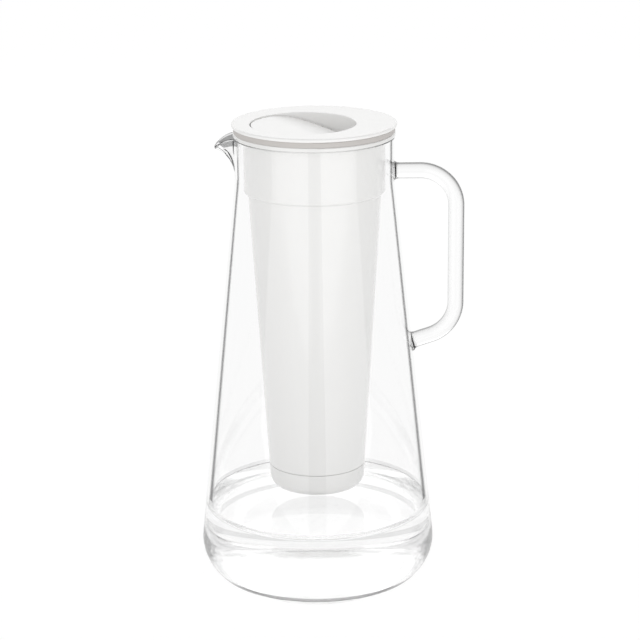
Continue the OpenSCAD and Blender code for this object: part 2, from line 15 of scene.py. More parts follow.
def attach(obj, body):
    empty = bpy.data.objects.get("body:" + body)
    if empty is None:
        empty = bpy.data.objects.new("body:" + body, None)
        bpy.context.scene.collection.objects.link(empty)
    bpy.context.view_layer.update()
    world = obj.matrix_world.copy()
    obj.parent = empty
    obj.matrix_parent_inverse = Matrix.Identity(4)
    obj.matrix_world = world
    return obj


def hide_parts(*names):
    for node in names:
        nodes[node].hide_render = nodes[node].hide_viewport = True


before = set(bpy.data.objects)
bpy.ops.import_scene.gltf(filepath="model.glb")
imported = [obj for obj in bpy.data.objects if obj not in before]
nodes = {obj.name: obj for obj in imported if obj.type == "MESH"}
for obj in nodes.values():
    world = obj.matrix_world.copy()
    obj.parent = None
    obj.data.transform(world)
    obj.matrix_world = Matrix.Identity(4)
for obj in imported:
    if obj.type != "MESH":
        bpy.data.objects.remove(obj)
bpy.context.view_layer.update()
scene = bpy.context.scene
MM = 0.001

# %% [markdown]
# ## Helpers for nodes
# Materials, the world and Geometry Nodes are all trees of nodes, so three short helpers serve them all.
# `add` makes a node and fills in its settings, `link` joins two sockets, and `maths` makes one sum.
# A sum takes plain numbers or sockets, so a formula in the lesson reads much like one on paper.


# %% Node helpers
def link(tree, source, target):
    tree.links.new(source, target)


def add(tree, kind, **values):
    """A new node; each value is one of its settings, or else the input of that name."""
    node = tree.nodes.new(kind)
    for name, value in values.items():
        if hasattr(node, name):
            setattr(node, name, value)
        else:
            node.inputs[name.replace("_", " ")].default_value = value
    return node


def maths(tree, operation, a, b=None):
    node = add(tree, "ShaderNodeMath", operation=operation)
    for socket, value in zip(node.inputs, (a, b)):
        if value is None:
            continue
        if isinstance(value, (int, float)):
            socket.default_value = value
        else:
            link(tree, value, socket)
    return node.outputs[0]


print("node helpers ready")

# %% [markdown]
# ## Helpers for finishes
# Real plastic is never one flat colour: the mould leaves a fine grain, and the gloss wanders a little.
# Noise gives both without any picture file. It reads object coordinates, so it stays put when a part moves.
# Most noise values lie in the middle of their range, so `spread` stretches that middle over the wanted range.

# %% Noise helpers
NOISE_LOW = 0.3
NOISE_HIGH = 0.7


def noise(tree, scale, detail=2.0, stretch=(1, 1, 1)):
    """Noise in object space; scale is in waves per metre."""
    place = add(tree, "ShaderNodeTexCoord")
    grid = add(tree, "ShaderNodeMapping", Scale=stretch)
    wave = add(tree, "ShaderNodeTexNoise", Scale=scale, Detail=detail)
    link(tree, place.outputs["Object"], grid.inputs["Vector"])
    link(tree, grid.outputs["Vector"], wave.inputs["Vector"])
    return wave.outputs["Fac"]


def spread(tree, value, low, high):
    """Maps a noise value onto the range low to high."""
    node = add(tree, "ShaderNodeMapRange", From_Min=NOISE_LOW, From_Max=NOISE_HIGH, To_Min=low, To_Max=high)
    link(tree, value, node.inputs["Value"])
    return node.outputs["Result"]


def two_colours(tree, value, dark, light):
    node = add(tree, "ShaderNodeMix", data_type="RGBA")
    colour_a, colour_b = [s for s in node.inputs if s.type == "RGBA"]
    colour_a.default_value = (*dark, 1)
    colour_b.default_value = (*light, 1)
    link(tree, spread(tree, value, 0, 1), node.inputs["Factor"])
    return [s for s in node.outputs if s.type == "RGBA"][0]


def bumped(tree, value, depth_mm):
    node = add(tree, "ShaderNodeBump", Strength=1.0, Distance=depth_mm * MM)
    link(tree, value, node.inputs["Height"])
    return node.outputs["Normal"]


print("noise from", NOISE_LOW, "to", NOISE_HIGH, "fills a range")

# %% [markdown]
# ## Camera
# A long lens stands about 1.25 m away and looks down by 17 degrees, so the jug's sides hardly converge.
# Aiming a camera with a constraint would keep it dead level.
# Here its three axes are built by hand, because the picture has a roll of half a degree.

# %% Camera
LENS = 126.3
SENSOR = 36
PICTURE_SHIFT = 4.11 / 640
CAMERA_PLACE = Vector((0, -1.19823, 0.51645))
PITCH = math.radians(16.94)
ROLL = math.radians(0.5425)
forward = Vector((0, math.cos(PITCH), -math.sin(PITCH)))
level_right = Vector((1, 0, 0))
level_up = level_right.cross(forward)
camera_right = math.cos(ROLL) * level_right - math.sin(ROLL) * level_up
camera_up = math.sin(ROLL) * level_right + math.cos(ROLL) * level_up
camera_data = bpy.data.cameras.new("camera")
camera_data.lens = LENS
camera_data.sensor_width = SENSOR
camera_data.shift_x = PICTURE_SHIFT
camera = bpy.data.objects.new("camera", camera_data)
camera_turn = Matrix((camera_right, camera_up, -forward)).transposed().to_4x4()
camera.matrix_world = Matrix.Translation(CAMERA_PLACE) @ camera_turn
scene.collection.objects.link(camera)
scene.camera = camera
print("camera", round(CAMERA_PLACE.length, 3), "m from the origin")

# %% [markdown]
# ## Studio
# The set is white on white. More light would give that, but it would burn out the pale plastic too.
# So the world has two faces. Rays from the camera, also mirrored or seen through glass, meet plain white.
# Rays that light the plastic meet a softer grey, a little darker overhead, so tops and slopes differ.
# Light in glass and water bounces many times, so the limits for bounces go up, or dark patches would appear.

# %% World
BOUNCES = 40
LIGHT_LEVEL = 0.8
LIGHT_DROP = 0.17
WHITE = (1, 1, 1, 1)
HALF_BOUNCE = 0.5
scene.view_settings.view_transform = "Standard"
scene.cycles.max_bounces = BOUNCES
scene.cycles.transmission_bounces = BOUNCES
scene.cycles.glossy_bounces = BOUNCES
world = bpy.data.worlds.new("studio")
scene.world = world
world.use_nodes = True
sky = world.node_tree
sky.nodes.clear()
ray = add(sky, "ShaderNodeLightPath").outputs
mirrored = maths(sky, "MAXIMUM", ray["Is Camera Ray"], ray["Is Glossy Ray"])
looked_at = maths(sky, "MAXIMUM", mirrored, ray["Is Transmission Ray"])
unscattered = maths(sky, "LESS_THAN", ray["Diffuse Depth"], HALF_BOUNCE)
sky_way = add(sky, "ShaderNodeSeparateXYZ")
link(sky, add(sky, "ShaderNodeTexCoord").outputs["Generated"], sky_way.inputs["Vector"])
sky_level = maths(sky, "SUBTRACT", LIGHT_LEVEL, maths(sky, "MULTIPLY", sky_way.outputs["Z"], LIGHT_DROP))
soft_sky = add(sky, "ShaderNodeBackground", Color=WHITE)
white_sky = add(sky, "ShaderNodeBackground", Color=WHITE)
sky_choice = add(sky, "ShaderNodeMixShader")
link(sky, sky_level, soft_sky.inputs["Strength"])
link(sky, maths(sky, "MULTIPLY", looked_at, unscattered), sky_choice.inputs[0])
link(sky, soft_sky.outputs[0], sky_choice.inputs[1])
link(sky, white_sky.outputs[0], sky_choice.inputs[2])
link(sky, sky_choice.outputs[0], add(sky, "ShaderNodeOutputWorld").inputs["Surface"])
print("world has", len(sky.nodes), "nodes")

# %% [markdown]
# The table is one big plane, mostly glowing white and partly ordinary paint, which keeps a faint shadow.
# A plain white plane would be darker than the background, and a fully glowing one would lose the shadow.
# The table ends shortly before the jug. There the front glass mirrors the softboxes and not the table.

# %% Floor
TABLE_SIZE = 12
TABLE_FRONT = 0.33
TABLE_DROP = 0.0002
GLOW = 1.03
GLOW_SEEN = 0.93
GLOW_THROUGH_GLASS = 0.79
TABLE_PAINT = (0.9, 0.9, 0.9, 1)
bpy.ops.mesh.primitive_plane_add(size=TABLE_SIZE)
floor = bpy.context.object
floor.name = "floor"
floor.location = (0, TABLE_SIZE / 2 - TABLE_FRONT, -TABLE_DROP)
floor_white = bpy.data.materials.new("floor_white")
floor_white.use_nodes = True
table = floor_white.node_tree
table.nodes.clear()
ray = add(table, "ShaderNodeLightPath").outputs
painted = add(table, "ShaderNodeBsdfDiffuse", Color=TABLE_PAINT)
glowing = add(table, "ShaderNodeEmission", Color=WHITE, Strength=GLOW)
glow_share = add(table, "ShaderNodeMapRange", To_Min=GLOW_THROUGH_GLASS, To_Max=GLOW_SEEN)
link(table, ray["Is Camera Ray"], glow_share.inputs["Value"])
unscattered = maths(table, "LESS_THAN", ray["Diffuse Depth"], HALF_BOUNCE)
table_choice = add(table, "ShaderNodeMixShader")
link(table, maths(table, "MULTIPLY", glow_share.outputs["Result"], unscattered), table_choice.inputs[0])
link(table, painted.outputs[0], table_choice.inputs[1])
link(table, glowing.outputs[0], table_choice.inputs[2])
link(table, table_choice.outputs[0], add(table, "ShaderNodeOutputMaterial").inputs["Surface"])
floor.data.materials.append(floor_white)
print("floor ends", TABLE_FRONT, "m in front of the jug's axis")

# %% [markdown]
# Three area lamps shape the jug. Two tall softboxes stand in front, left and right.
# The front glass mirrors them as two pale bands with a gap between, which makes the hopper look glazed.
# A low strip far behind the jug glances off the flat lid. The slope of the flap turns away from it,
# so the flap's soft roll shows in the gloss, and no extra modelling is needed.


# %% Lamps
def lamp(name, place, aim, size, power):
    data = bpy.data.lights.new(name, "AREA")
    data.shape = "RECTANGLE"
    data.size, data.size_y = size
    data.energy = power
    made = bpy.data.objects.new(name, data)
    made.location = place
    made.rotation_euler = (Vector(aim) - Vector(place)).to_track_quat("-Z", "Y").to_euler()
    scene.collection.objects.link(made)


lamp("backlight", (0, 1.5, 0.78), (0, 0, 0.26), (2.4, 0.46), 2.5)
lamp("softbox_left", (-0.89, -1.21, 0.15), (0, 0, 0.15), (1.56, 1.9), 5)
lamp("softbox_right", (0.87, -1.22, 0.15), (0, 0, 0.15), (1.5, 1.9), 5)
print("lamps", len(bpy.data.lights))

# %% [markdown]
# ## Glass
# Clear glass has almost no colour of its own. What we see are its edges, where a ray runs a long way inside.
# Black cards beside the set are one way to draw such edges. Here they are painted shade in the glass's own
# colour, and the set stays plain.
# The painted shade follows the facing angle: clear where we look straight in, and dark where a ray only
# grazes.
# It works on the way in only, or a ray that bounces about inside would be darkened over and over.
# The handle's painted shade also leans to one side, so that the rod is dark along its outer and upper edges
# only.
# Shadow and diffuse rays pass straight through, so the hopper gets the same light in the jug as out of it.

# %% Glass and water materials
GLASS_IOR = 1.47
WATER_IOR = 1.333
RIPPLE_WAVES = 90
RIPPLE_GLOSS = 0.006


def clear_with_painted_shade(name, stops, ior=GLASS_IOR, painted_dark_side=(0, 0, 0)):
    """Clear glass or water with painted shade at its edges. The stops give the painted grey at facing angles
    from 0, straight on, to 1, grazing.
    """
    material = bpy.data.materials.new(name)
    material.use_nodes = True
    tree = material.node_tree
    shader = tree.nodes["Principled BSDF"]
    shader.inputs["Transmission Weight"].default_value = 1.0
    shader.inputs["IOR"].default_value = ior
    facing = add(tree, "ShaderNodeLayerWeight", Blend=0.5)
    wall = add(tree, "ShaderNodeNewGeometry")
    # The painted shade leans towards one fixed side of the world, given as a direction, on top of the facing
    # angle.
    lean = add(tree, "ShaderNodeVectorMath", operation="DOT_PRODUCT")
    lean.inputs[1].default_value = painted_dark_side
    link(tree, wall.outputs["Normal"], lean.inputs[0])
    leaning = maths(tree, "ADD", facing.outputs["Facing"], lean.outputs["Value"])
    way_in = maths(tree, "SUBTRACT", 1.0, wall.outputs["Backfacing"])
    ramp = add(tree, "ShaderNodeValToRGB")
    while len(ramp.color_ramp.elements) < len(stops):
        ramp.color_ramp.elements.new(0.5)
    for element, (position, grey) in zip(ramp.color_ramp.elements, stops):
        element.position = position
        element.color = (grey, grey, grey, 1)
    link(tree, maths(tree, "MULTIPLY", leaning, way_in), ramp.inputs["Fac"])
    link(tree, ramp.outputs["Color"], shader.inputs["Base Color"])
    link(tree, spread(tree, noise(tree, RIPPLE_WAVES), 0.0, RIPPLE_GLOSS), shader.inputs["Roughness"])
    ray = add(tree, "ShaderNodeLightPath").outputs
    pass_on = add(tree, "ShaderNodeBsdfTransparent")
    choice = add(tree, "ShaderNodeMixShader")
    link(tree, maths(tree, "MAXIMUM", ray["Is Shadow Ray"], ray["Is Diffuse Ray"]), choice.inputs[0])
    link(tree, shader.outputs[0], choice.inputs[1])
    link(tree, pass_on.outputs[0], choice.inputs[2])
    link(tree, choice.outputs[0], tree.nodes["Material Output"].inputs["Surface"])
    return material


# Painted shade for each zone of the glass: a dark contour line, grey foot sides, a dark heel line, a pale
# inside edge, a grey wet wall, a one-sided dark rod, a dark rim line and a dark beak lip.
GLASS = clear_with_painted_shade("clear_glass", [(0.66, 1), (0.71, 0.03), (0.75, 0.03), (0.80, 1)])
FOOT_GLASS_PAINTED_GREY = clear_with_painted_shade("glass_foot_painted_grey", [(0.8, 1), (1.0, 0.6)])
HEEL_GLASS_PAINTED_LINE = clear_with_painted_shade("glass_heel_painted_line", [(0.35, 0.6), (0.7, 0.05)])
INNER_GLASS_PAINTED_EDGE = clear_with_painted_shade("glass_inside_painted_edge", [(0.86, 1), (1.0, 0.9)])
WET_GLASS_PAINTED_GREY = clear_with_painted_shade("glass_wet_painted_grey", [(0.1, 1), (0.3, 0.67)])
ROD_GLASS_PAINTED_SHADE = clear_with_painted_shade("glass_rod_painted_shade", [(0.05, 1), (0.35, 0.8), (0.7, 0.05)], painted_dark_side=(0.2, 0, 0.2))
RIM_GLASS_PAINTED_LINE = clear_with_painted_shade("glass_rim_painted_line", [(0, 0.85), (0.5, 0.06)])
BEAK_GLASS_PAINTED_DARK = clear_with_painted_shade("glass_beak_painted_dark", [(0, 0.15), (0.5, 0.03)])
# The water gets a faint painted grey where a ray grazes it.
WATER = clear_with_painted_shade("water", [(0.4, 1), (0.7, 0.9)], WATER_IOR)
print("glass bends light by", GLASS_IOR, "and water by", WATER_IOR)

# %% [markdown]
# ## Jug
# The jug is blown into a mould, so it is round, and then the beak is pulled out while the rim is soft.
# Its outline is a rounded foot, a straight cone, a soft blend and a straight neck.
# The same slice serves the outer and the inner face: an inset moves it inwards by the thickness of the wall.
# The names are the same as in the CAD source, and the sizes are in millimetres.

# %% Jug outline
BASE_D = 131.6
RIM_Z = 257.0
NECK_R = 43.7
NECK_Z = 231.0
FOOT_R = 24.0
BLEND_R = 70.0
FLOOR_STEPS = 12
FOOT_STEPS = 28
CONE_STEPS = 40
BLEND_STEPS = 10


def arc_points(centre, radius, start, end, steps):
    turns = np.linspace(start, end, steps)
    return [(centre[0] + radius * math.cos(a), centre[1] + radius * math.sin(a)) for a in turns]


def jug_side(inset, floor_level):
    """Slice of one face of the wall, from the axis to the start of the neck, as (r, z)."""
    neck_r = NECK_R - inset
    round_r = FOOT_R - inset
    centre = np.array([BASE_D / 2 - FOOT_R, floor_level + round_r])
    corner = np.array([neck_r, NECK_Z])
    away = corner - centre
    lean = math.atan2(away[1], away[0]) - math.acos(round_r / np.linalg.norm(away))
    floor_part = [(centre[0] * k / FLOOR_STEPS, floor_level) for k in range(FLOOR_STEPS)]
    foot = arc_points(centre, round_r, -math.pi / 2, lean, FOOT_STEPS)
    blend_r = BLEND_R + inset
    reach = blend_r * math.tan(lean / 2)
    cone_start = np.array(foot[-1])
    cone_end = corner + reach * np.array([math.sin(lean), -math.cos(lean)])
    cone = [tuple(cone_start + (cone_end - cone_start) * k / CONE_STEPS) for k in range(1, CONE_STEPS)]
    blend = arc_points((neck_r + blend_r, NECK_Z + reach), blend_r, math.pi + lean, math.pi, BLEND_STEPS)
    return floor_part + foot + cone + blend


print("jug", BASE_D, "mm wide and", RIM_Z, "mm high")

# %% [markdown]
# The whole slice runs from the axis along the floor, up the outside, over the rim and back down the inside.
# The rim is a half circle, because a flame melts the cut edge round.
# A Solidify modifier could thicken one skin, but it gives the floor and the wall the same thickness.

# %% Jug slice
GLASS_WALL = 1.8
GLASS_FLOOR = 5.0
SPOUT_RISE = 22.0
NECK_STEPS = 22
RIM_STEPS = 11


def jug_slice():
    """One slice of the whole wall, still without the beak."""
    rim_r = GLASS_WALL / 2
    rim_start = RIM_Z - rim_r
    neck = np.linspace(RIM_Z - SPOUT_RISE, rim_start, NECK_STEPS)
    outer_neck = [(NECK_R, z) for z in neck]
    rim = arc_points((NECK_R - rim_r, rim_start), rim_r, 0, math.pi, RIM_STEPS)[1:-1]
    inner_neck = [(NECK_R - GLASS_WALL, z) for z in neck[::-1]]
    inner_side = jug_side(GLASS_WALL, GLASS_FLOOR)[::-1]
    return jug_side(0, 0) + outer_neck + rim + inner_neck + inner_side


print("the slice has", len(jug_slice()), "points")

# %% [markdown]
# ## Geometry Nodes
# The jug follows a rule and the handle follows a path, so both are made by trees of Geometry Nodes.
# A tree's sizes are named inputs, which can be changed later in the modifier panel.
# Each tree ends in plain geometry with one material, and `baked` turns the result into an ordinary mesh.


# %% Tree helpers
def new_tree(name):
    tree = bpy.data.node_groups.new(name, "GeometryNodeTree")
    for direction in ("INPUT", "OUTPUT"):
        tree.interface.new_socket("Geometry", in_out=direction, socket_type="NodeSocketGeometry")
    return tree


def group_input(tree, name, kind, value=None):
    """Adds a named input and gives the identifier by which a modifier sets it."""
    socket = tree.interface.new_socket(name, in_out="INPUT", socket_type=kind)
    if value is not None:
        socket.default_value = value
    return socket.identifier


def finish_tree(tree, geometry, material):
    """Ends a tree in plain geometry with one material."""
    real = add(tree, "GeometryNodeRealizeInstances")
    coat = add(tree, "GeometryNodeSetMaterial")
    link(tree, geometry, real.inputs["Geometry"])
    link(tree, real.outputs["Geometry"], coat.inputs["Geometry"])
    link(tree, material, coat.inputs["Material"])
    link(tree, coat.outputs["Geometry"], add(tree, "NodeGroupOutput").inputs["Geometry"])


def baked(source, name):
    """The mesh that an object's modifiers make, as a plain object."""
    graph = bpy.context.evaluated_depsgraph_get()
    mesh = bpy.data.meshes.new_from_object(source.evaluated_get(graph))
    bpy.data.objects.remove(source)
    mesh.name = name
    made = bpy.data.objects.new(name, mesh)
    scene.collection.objects.link(made)
    return made


print("tree helpers ready")

# %% [markdown]
# A lathe turns a slice into a body. A Screw modifier can do that too, but it knows nothing of a beak.
# In Geometry Nodes, a lathe is a grid with a column for each step of the turn and a row for each slice point.
# Each grid point looks up its slice point, to be carried round the axis.
# The columns crowd together near the beak, where the shape changes fast, and stand wider on the far side.

# %% Lathe look-up
SPOUT_REACH = 11.0
SPOUT_ARC_R = 16.0
SPOUT_SPREAD = 10.6
SPOUT_ROUND = 3
SPOUT_DROOP = 2.4
SPOUT_LIP = 2.2
LATHE_COLUMNS = 288
CROWDING = 0.6
FULL_TURN = 2 * math.pi
LATHE_SIZES = {
    "Neck radius": NECK_R * MM,
    "Neck start": (RIM_Z - SPOUT_RISE) * MM,
    "Neck height": SPOUT_RISE * MM,
    "Beak arc": SPOUT_ARC_R * MM,
    "Beak turn": math.acos(1 - SPOUT_REACH / SPOUT_ARC_R),
    "Beak spread": math.radians(SPOUT_SPREAD),
    "Beak roundness": SPOUT_ROUND,
    "Beak droop": SPOUT_DROOP,
    "Lip growth": SPOUT_LIP / GLASS_WALL - 1,
}
lathe = new_tree("lathe_with_beak")
for size_name, size in LATHE_SIZES.items():
    group_input(lathe, size_name, "NodeSocketFloat", size)
beak_input = group_input(lathe, "Beak", "NodeSocketFloat", 0.0)
group_input(lathe, "Columns", "NodeSocketInt", LATHE_COLUMNS)
rows_input = group_input(lathe, "Rows", "NodeSocketInt", 2)
coat_input = group_input(lathe, "Material", "NodeSocketMaterial")
given = add(lathe, "NodeGroupInput").outputs


def calc(operation, a, b=None):
    return maths(lathe, operation, a, b)


grid = add(lathe, "GeometryNodeMeshGrid")
link(lathe, calc("ADD", given["Columns"], 1), grid.inputs["Vertices X"])
link(lathe, given["Rows"], grid.inputs["Vertices Y"])
number = add(lathe, "GeometryNodeInputIndex").outputs["Index"]
column = calc("FLOOR", calc("DIVIDE", number, given["Rows"]))
even_angle = calc("MULTIPLY", column, calc("DIVIDE", FULL_TURN, given["Columns"]))
angle = calc("SUBTRACT", even_angle, calc("MULTIPLY", calc("SINE", even_angle), CROWDING))
look_up = add(lathe, "GeometryNodeSampleIndex", data_type="FLOAT_VECTOR")
link(lathe, given["Geometry"], look_up.inputs["Geometry"])
link(lathe, add(lathe, "GeometryNodeInputPosition").outputs["Position"], look_up.inputs["Value"])
link(lathe, calc("MODULO", number, given["Rows"]), look_up.inputs["Index"])
spot = add(lathe, "ShaderNodeSeparateXYZ")
link(lathe, look_up.outputs["Value"], spot.inputs["Vector"])
slice_r = spot.outputs["X"]
slice_z = spot.outputs["Z"]
print("lathe has", len(LATHE_SIZES), "sizes and", LATHE_COLUMNS, "columns")

# %% [markdown]
# The beak is the hardest form on the jug: the soft neck is drawn out and down, and its lip grows thicker.
# Sculpting could pull it, but a rule stays smooth and can be resized.
# Round the rim the pull fades by a bell curve, and up the neck it follows an arc.
# Below the neck the pull is nothing, so one rule serves the whole wall.
# With the beak's input at zero, the same tree is a plain lathe.

# %% Pull the beak
from_beak = calc("MINIMUM", angle, calc("SUBTRACT", FULL_TURN, angle))
fading = calc("POWER", calc("DIVIDE", from_beak, given["Beak spread"]), given["Beak roundness"])
pull = calc("MULTIPLY", calc("EXPONENT", calc("MULTIPLY", fading, -1.0)), given["Beak"])
droop = calc("POWER", pull, given["Beak droop"])
height = calc("SUBTRACT", slice_z, given["Neck start"])
up_neck = calc("MAXIMUM", calc("DIVIDE", height, given["Neck height"]), 0.0)
growth = calc("MULTIPLY", calc("MULTIPLY", up_neck, droop), given["Lip growth"])
depth = calc("MULTIPLY", calc("SUBTRACT", given["Neck radius"], slice_r), calc("ADD", growth, 1.0))
beak_turn = calc("MULTIPLY", up_neck, given["Beak turn"])
arc = calc("ADD", given["Beak arc"], depth)
reach = calc("MULTIPLY", calc("MULTIPLY", pull, arc), calc("SUBTRACT", 1.0, calc("COSINE", beak_turn)))
straight = calc("MULTIPLY", up_neck, given["Neck height"])
sink = calc("MULTIPLY", droop, calc("SUBTRACT", calc("MULTIPLY", arc, calc("SINE", beak_turn)), straight))
pulled_r = calc("ADD", calc("SUBTRACT", given["Neck radius"], depth), reach)
print("beak rule has", len(lathe.nodes), "nodes so far")

# %% [markdown]
# Now the grid points are carried to their places, with the beak towards -X.
# Each face also stores the row it came from, because the zones of the glass need that later.
# At the end the first and last columns meet, and so do the points on the axis. Merging them closes the body.

# %% Close the lathe
SEAM_GAP = 0.001
place = add(lathe, "ShaderNodeCombineXYZ")
link(lathe, calc("MULTIPLY", pulled_r, calc("MULTIPLY", calc("COSINE", angle), -1.0)), place.inputs["X"])
link(lathe, calc("MULTIPLY", pulled_r, calc("MULTIPLY", calc("SINE", angle), -1.0)), place.inputs["Y"])
link(lathe, calc("ADD", slice_z, sink), place.inputs["Z"])
carry = add(lathe, "GeometryNodeSetPosition")
link(lathe, grid.outputs["Mesh"], carry.inputs["Geometry"])
link(lathe, place.outputs["Vector"], carry.inputs["Position"])
mark = add(lathe, "GeometryNodeStoreNamedAttribute", data_type="INT", domain="FACE", Name="row")
link(lathe, carry.outputs["Geometry"], mark.inputs["Geometry"])
link(lathe, calc("MODULO", number, calc("SUBTRACT", given["Rows"], 1.0)), mark.inputs["Value"])
close = add(lathe, "GeometryNodeMergeByDistance", Distance=SEAM_GAP * MM)
link(lathe, mark.outputs["Geometry"], close.inputs["Geometry"])
finish_tree(lathe, close.outputs["Geometry"], given["Material"])
print("lathe has", len(lathe.nodes), "nodes")

# %% [markdown]
# A slice goes into the lathe as a bare line of points. The modifier does the rest, and its result is baked.
# The grid brings an empty material slot with it, which is taken out again.


# %% Turn the jug
def turned(name, slice_points, material, beak=0.0):
    """A closed body from a slice of (r, z) points that starts and ends on the axis."""
    line = bpy.data.meshes.new(name + "_slice")
    steps = [(k, k + 1) for k in range(len(slice_points) - 1)]
    line.from_pydata([(r * MM, 0, z * MM) for r, z in slice_points], steps, [])
    holder = bpy.data.objects.new(name + "_slice", line)
    scene.collection.objects.link(holder)
    spin = holder.modifiers.new("turn", "NODES")
    spin.node_group = lathe
    spin[rows_input] = len(slice_points)
    spin[beak_input] = beak
    spin[coat_input] = material
    made = baked(holder, name)
    made.data.materials.pop(index=0)
    made.data.shade_smooth()
    return made


jug = turned("jug_glass", jug_slice(), GLASS, 1.0)
print("jug", len(jug.data.polygons), "faces")

# %% [markdown]
# Each zone of the wall gets its own painted shade, so it gets its own glass.
# The heel, just above the table, and the rim get a painted dark line. The foot's sides and the wall behind
# the water get a little painted grey.
# The beak's two side lips get the darkest painted shade of all.
# The lathe left the row of each face in an attribute, and the row's height on the slice tells its zone.

# %% Zones of the glass
WATER_Z = 47.0
WET_LOW = 20.0
HEEL_LOW = 5.5
HEEL_HIGH = 9.5


def outside_glass(z):
    if HEEL_LOW < z < HEEL_HIGH:
        return HEEL_GLASS_PAINTED_LINE
    return FOOT_GLASS_PAINTED_GREY if z < WATER_Z else GLASS


def inside_glass(z):
    return WET_GLASS_PAINTED_GREY if WET_LOW < z < WATER_Z else INNER_GLASS_PAINTED_EDGE


outer_side = jug_side(0, 0)
row_heights = [z for r, z in jug_slice()]
neck_row = len(outer_side)
rim_row = neck_row + NECK_STEPS - 1
lip_row = rim_row + RIM_STEPS - 1
row_glass = [outside_glass(z) for z in row_heights[:neck_row]]
row_glass += [GLASS] * (rim_row - neck_row)
row_glass += [RIM_GLASS_PAINTED_LINE] * (lip_row - rim_row)
row_glass += [INNER_GLASS_PAINTED_EDGE] * NECK_STEPS
row_glass += [inside_glass(z) for z in row_heights[1 - neck_row :]]
print("zones for", len(row_glass), "rows of faces")

# %% [markdown]
# The beak needs two more zones: its outside gets the foot's painted grey, and its lip gets painted dark shade
# except at the tip.
# They depend on the angle from the beak as well as on the row, so each face is asked in turn.

# %% Coat the jug
BEAK_HALF = 17.0
BEAK_TIP = 4.0
LIP_ROWS = 3
for zone_glass in (FOOT_GLASS_PAINTED_GREY, HEEL_GLASS_PAINTED_LINE, RIM_GLASS_PAINTED_LINE, INNER_GLASS_PAINTED_EDGE, BEAK_GLASS_PAINTED_DARK, WET_GLASS_PAINTED_GREY, ROD_GLASS_PAINTED_SHADE):
    jug.data.materials.append(zone_glass)
slot_number = {glass: slot for slot, glass in enumerate(jug.data.materials)}
face_rows = jug.data.attributes["row"].data
for face in jug.data.polygons:
    row = face_rows[face.index].value
    glass = row_glass[row]
    beak_angle = abs(math.degrees(math.atan2(face.center.y, -face.center.x)))
    if neck_row <= row < rim_row and beak_angle < BEAK_HALF:
        glass = FOOT_GLASS_PAINTED_GREY
    if lip_row <= row < lip_row + LIP_ROWS and BEAK_TIP < beak_angle < BEAK_HALF:
        glass = BEAK_GLASS_PAINTED_DARK
    face.material_index = slot_number[glass]
print("jug has", len(slot_number), "kinds of glass")

# %% [markdown]
# ## Handle
# The handle is one glass rod, bent hot and welded to the wall at both ends.
# Its path is a level arm, a bend, an upright grip, a second bend and an arm that slopes down to the wall.
# The lower arm must end where it meets the cone, so a short search steps along it until it is in the wall.

# %% Handle path
HANDLE_REACH = 77.8
UPPER_ARM_Z = 236.6
GRIP_H = 55.0
BEND_R = 20.0
ARM_SLOPE = math.radians(18)
EMBED = 6.0
UPPER_BEND_STEPS = 28
LOWER_BEND_STEPS = 24
ARM_STEPS = 60
SEARCH_STEPS = np.linspace(0, 30, 601)
bend_x = HANDLE_REACH - BEND_R
upper_z = UPPER_ARM_Z - BEND_R
lower_z = upper_z - GRIP_H
upper_bend = arc_points((bend_x, upper_z), BEND_R, math.pi / 2, 0, UPPER_BEND_STEPS)
lower_bend = arc_points((bend_x, lower_z), BEND_R, 0, ARM_SLOPE - math.pi / 2, LOWER_BEND_STEPS)
bend_end = np.array(lower_bend[-1])
arm_way = np.array([-math.cos(ARM_SLOPE), -math.sin(ARM_SLOPE)])
wall_r, wall_z = np.array(outer_side[FLOOR_STEPS:]).T
for lower_run in SEARCH_STEPS:
    tip_x, tip_z = bend_end + lower_run * arm_way
    if tip_x <= np.interp(tip_z, wall_z, wall_r):
        break
upper_arm = [(x, UPPER_ARM_Z) for x in np.linspace(NECK_R - EMBED, bend_x, ARM_STEPS)[:-1]]
lower_arm = [tuple(bend_end + run * arm_way) for run in np.linspace(0, lower_run + EMBED, ARM_STEPS)[1:]]
middle_line = upper_arm + upper_bend + lower_bend + lower_arm
handle_path = bpy.data.curves.new("handle_path", "CURVE")
handle_path.dimensions = "3D"
path_line = handle_path.splines.new("POLY")
path_line.points.add(len(middle_line) - 1)
for point, (x, z) in zip(path_line.points, middle_line):
    point.co = (x * MM, 0, z * MM, 1)
handle = bpy.data.objects.new("handle_path", handle_path)
scene.collection.objects.link(handle)
path_steps = np.linalg.norm(np.diff(np.array(middle_line), axis=0), axis=1)
print("handle rod", round(float(path_steps.sum()), 1), "mm long")

# %% [markdown]
# A circle swept along the path makes the rod. A curve's own bevel would do for an even rod.
# This one grows at both ends, where the soft glass was pressed onto the jug, so Geometry Nodes set its width.
# Close to the wall the width follows a quarter circle, like a fillet, and inside the wall it stays wide.

# %% Handle rod
ROD_R = 4.4
WELD_FLARE = 1.4
ROD_SIDES = 48
rod = new_tree("swept_rod")
group_input(rod, "Radius", "NodeSocketFloat", ROD_R * MM)
group_input(rod, "Flare", "NodeSocketFloat", WELD_FLARE * MM)
group_input(rod, "Flat end", "NodeSocketFloat", EMBED * MM)
rod_coat_input = group_input(rod, "Material", "NodeSocketMaterial")
rod_given = add(rod, "NodeGroupInput").outputs
from_start = add(rod, "GeometryNodeSplineParameter").outputs["Length"]
whole_length = add(rod, "GeometryNodeSplineLength").outputs["Length"]
from_end = maths(rod, "SUBTRACT", whole_length, from_start)
nearest_end = maths(rod, "MINIMUM", from_start, from_end)
past_wall = maths(rod, "SUBTRACT", nearest_end, rod_given["Flat end"])
flare_length = maths(rod, "MULTIPLY", rod_given["Flare"], 2.0)
flare_share = maths(rod, "MAXIMUM", maths(rod, "DIVIDE", past_wall, flare_length), 0.0)
